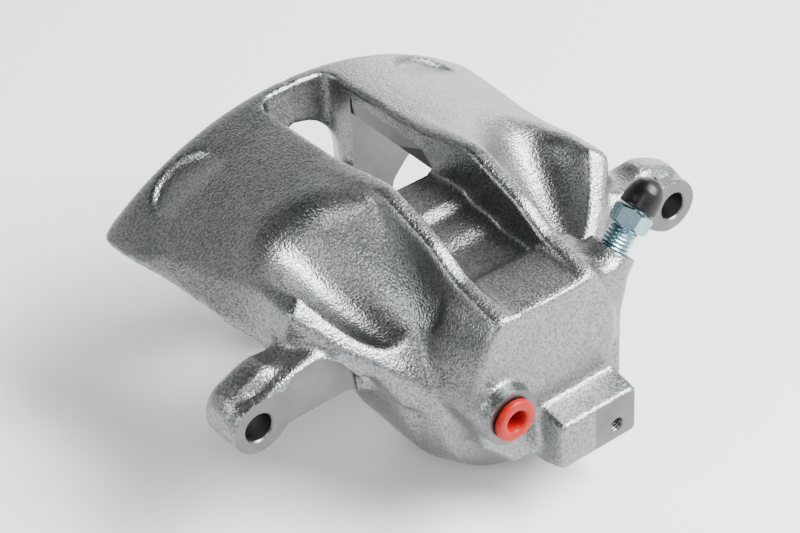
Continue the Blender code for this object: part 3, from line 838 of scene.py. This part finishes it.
def bleed_screw():
    """Cone, thread, hexagon with its chamfers, neck and drilled nipple."""
    zinc = blue_zinc()
    thread = thread_wall(THREAD_R, 0.55, 1.0, BLEED_SEAT + 5.6, 0.4, 48, 12)
    bmesh.ops.transform(thread, matrix=ALONG_BLEED, verts=thread.verts[:])
    body = piece_from("bleeder", mesh_from("bleeder", thread), [zinc])
    shaft = [(0.0, BLEED_SEAT), (1.2, BLEED_SEAT), (3.2, BLEED_SEAT + 3.0), (3.2, 7.2), (4.2, HEX_LOW)]
    shaft += [(4.2, 13.2), (2.4, 13.3), (2.4, 15.6), (NIPPLE_R, 16.2), (NIPPLE_R, 17.0)]
    shaft += [(2.2, NIPPLE_TOP), (0.0, NIPPLE_TOP)]
    hexagon = [(0.0, HEX_LOW), (HEX_CHAMFER_R, HEX_LOW), (HEX_ROUND_R, 8.3), (HEX_ROUND_R, 12.3)]
    hexagon += [(HEX_CHAMFER_R, HEX_HIGH), (0.0, HEX_HIGH)]
    hexagon = lathe(hexagon, ALONG_BLEED, 64)
    collar = thread_wall(COLLAR_R, 0.5, 1.25, 0.3, 6.8, 48, 12)
    bmesh.ops.transform(collar, matrix=ALONG_BLEED, verts=collar.verts[:])
    shaft = lathe(shaft, ALONG_BLEED, 48)
    cut(body, {"shaft": shaft, "thread above the boss": collar, "hexagon": hexagon}, "UNION")
    turns = [math.pi * i / 3 for i in range(6)]
    corners = [(HEX_CORNER_R * math.cos(turn), HEX_CORNER_R * math.sin(turn)) for turn in turns]
    flats = prism(corners, "Z", -30.0, 30.0)
    bmesh.ops.transform(flats, matrix=ALONG_BLEED, verts=flats.verts[:])
    cut(body, {"flats": flats}, "INTERSECT")
    cut(body, {"drilling": disc(DRILL_R, -6.0, 22.0, ALONG_BLEED, 24)})
    smooth_shaded(body, 28.0)
    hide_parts("bleed_screw")
    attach(body, "bleed_screw")


def nipple_cap():
    """The rubber cap: a pip on a domed crown, with a bead round its mouth."""
    shell = [(0.0, 24.6), (0.35, 24.55), (0.55, 24.3), (0.7, 23.95), (2.2, 23.6), (4.2, 22.2)]
    shell += [(5.5, 20.0), (5.95, 17.4), (5.95, 15.4), (6.1, 14.6), (5.95, 13.8), (5.0, 13.7)]
    shell += [(3.4, 13.9), (3.3, 14.9), (4.1, 15.6), (4.1, 17.3), (2.6, 20.9), (0.0, 21.0)]
    shell = rounded(shell, 0.5, 2)
    black = rubber("cap_rubber", (0.002, 0.002, 0.0022), 0.34)
    turned_piece("nipple_cap", "bleed_cap", "bleed_cap", shell, ALONG_BLEED, black, 64, 50.0)


def inlet_plug():
    face = PORT_FACE - GAP
    profile = [(0.0, -31.0), (4.2, -31.0), (4.75, -33.0), (4.75, face), (6.9, face), (6.9, face - 1.4)]
    profile += [(6.3, face - 2.2), (4.6, face - 2.3), (3.6, face - 1.9), (3.1, face - 0.4)]
    profile = rounded(profile + [(2.9, -33.4), (0.0, -33.4)], 0.4)
    red = plug_plastic()
    turned_piece("transport_plug", "inlet_plug", "inlet_plug", profile, PORT_AXIS, red, 72)


# ---------------------------------------------------------------- stage

def stage():
    """A plain pale floor, five soft lights, and a world that is darkest overhead."""
    bpy.ops.mesh.primitive_plane_add(size=6.0, location=(0.0, 0.0, 0.0))
    floor = bpy.context.object
    floor.name = "floor"
    s = Shader("floor_paper", roughness=0.9)
    cloud = s.noise(0.4, 2.0)
    floor.data.materials.append(s.done(s.mixed(cloud, (0.86, 0.86, 0.86), (0.90, 0.90, 0.90))))

    lights = (  # name, place, size, power, colour
        ("key", (0.58, -0.72, 0.90), 0.62, 46.0, (1.0, 1.0, 1.0)),
        ("top", (0.55, -0.30, 1.00), 0.40, 14.0, (1.0, 1.0, 1.0)),
        ("near", (-0.62, -0.80, 0.95), 0.35, 4.0, (1.0, 1.0, 1.0)),
        ("left", (-1.15, 0.10, 0.70), 0.45, 8.0, (0.94, 0.97, 1.0)),
        ("right", (1.10, 0.85, 0.30), 0.70, 6.0, (1.0, 0.985, 0.96)),
    )
    for name, place, size, power, colour in lights:
        data = bpy.data.lights.new(name, "AREA")
        data.shape = "SQUARE"
        data.size = size
        data.energy = power
        data.color = colour
        lamp = bpy.data.objects.new(name, data)
        bpy.context.scene.collection.objects.link(lamp)
        aim = Vector((0.0, 0.0, 0.05)) - Vector(place)
        lamp.matrix_world = Matrix.Translation(place) @ aim.to_track_quat("-Z", "Y").to_matrix().to_4x4()

    world = bpy.data.worlds.new("studio")
    bpy.context.scene.world = world
    world.use_nodes = True
    tree = world.node_tree
    spot = tree.nodes.new("ShaderNodeTexCoord")
    parts = tree.nodes.new("ShaderNodeSeparateXYZ")
    band = tree.nodes.new("ShaderNodeValToRGB")
    across = tree.nodes.new("ShaderNodeMapRange")
    tree.links.new(spot.outputs["Generated"], parts.inputs["Vector"])
    tree.links.new(parts.outputs["Z"], band.inputs["Fac"])
    tree.links.new(parts.outputs["X"], across.inputs["Value"])
    for key, number in zip(("From Min", "From Max", "To Min", "To Max"), (-0.8, 0.8, 0.55, 2.4)):
        across.inputs[key].default_value = number
    stops = ((0.0, 0.95), (0.3, 0.85), (0.62, 0.5), (0.82, 0.12), (1.0, 0.06))
    while len(band.color_ramp.elements) < len(stops):
        band.color_ramp.elements.new(0.5)
    for element, (at, value) in zip(band.color_ramp.elements, stops):
        element.position = at
        element.color = (value, value, value, 1.0)
    tree.links.new(band.outputs["Color"], tree.nodes["Background"].inputs["Color"])
    tree.links.new(across.outputs["Result"], tree.nodes["Background"].inputs["Strength"])


def camera():
    """The view from the left, behind the cylinder and above it."""
    azimuth, elevation, roll = (math.radians(v) for v in CAMERA_ANGLES)
    level = math.cos(elevation)
    back = Vector((math.sin(azimuth) * level, -math.cos(azimuth) * level, math.sin(elevation)))
    across = (-back).cross(Vector((0.0, 0.0, 1.0))).normalized()
    down = (-back).cross(across)
    right = math.cos(roll) * across + math.sin(roll) * down
    up = back.cross(right)
    place = Vector(CAMERA_PLACE) + DATUM
    data = bpy.data.cameras.new("camera")
    data.lens = CAMERA_LENS
    data.clip_start = 0.05
    made = bpy.data.objects.new("camera", data)
    bpy.context.scene.collection.objects.link(made)
    turn = Matrix((right, up, back)).transposed().to_4x4()
    made.matrix_world = Matrix.Translation(place * MM) @ turn
    bpy.context.scene.camera = made


camera()
stage()
housing()
piston()
seal_and_boot()
bleed_screw()
nipple_cap()
inlet_plug()
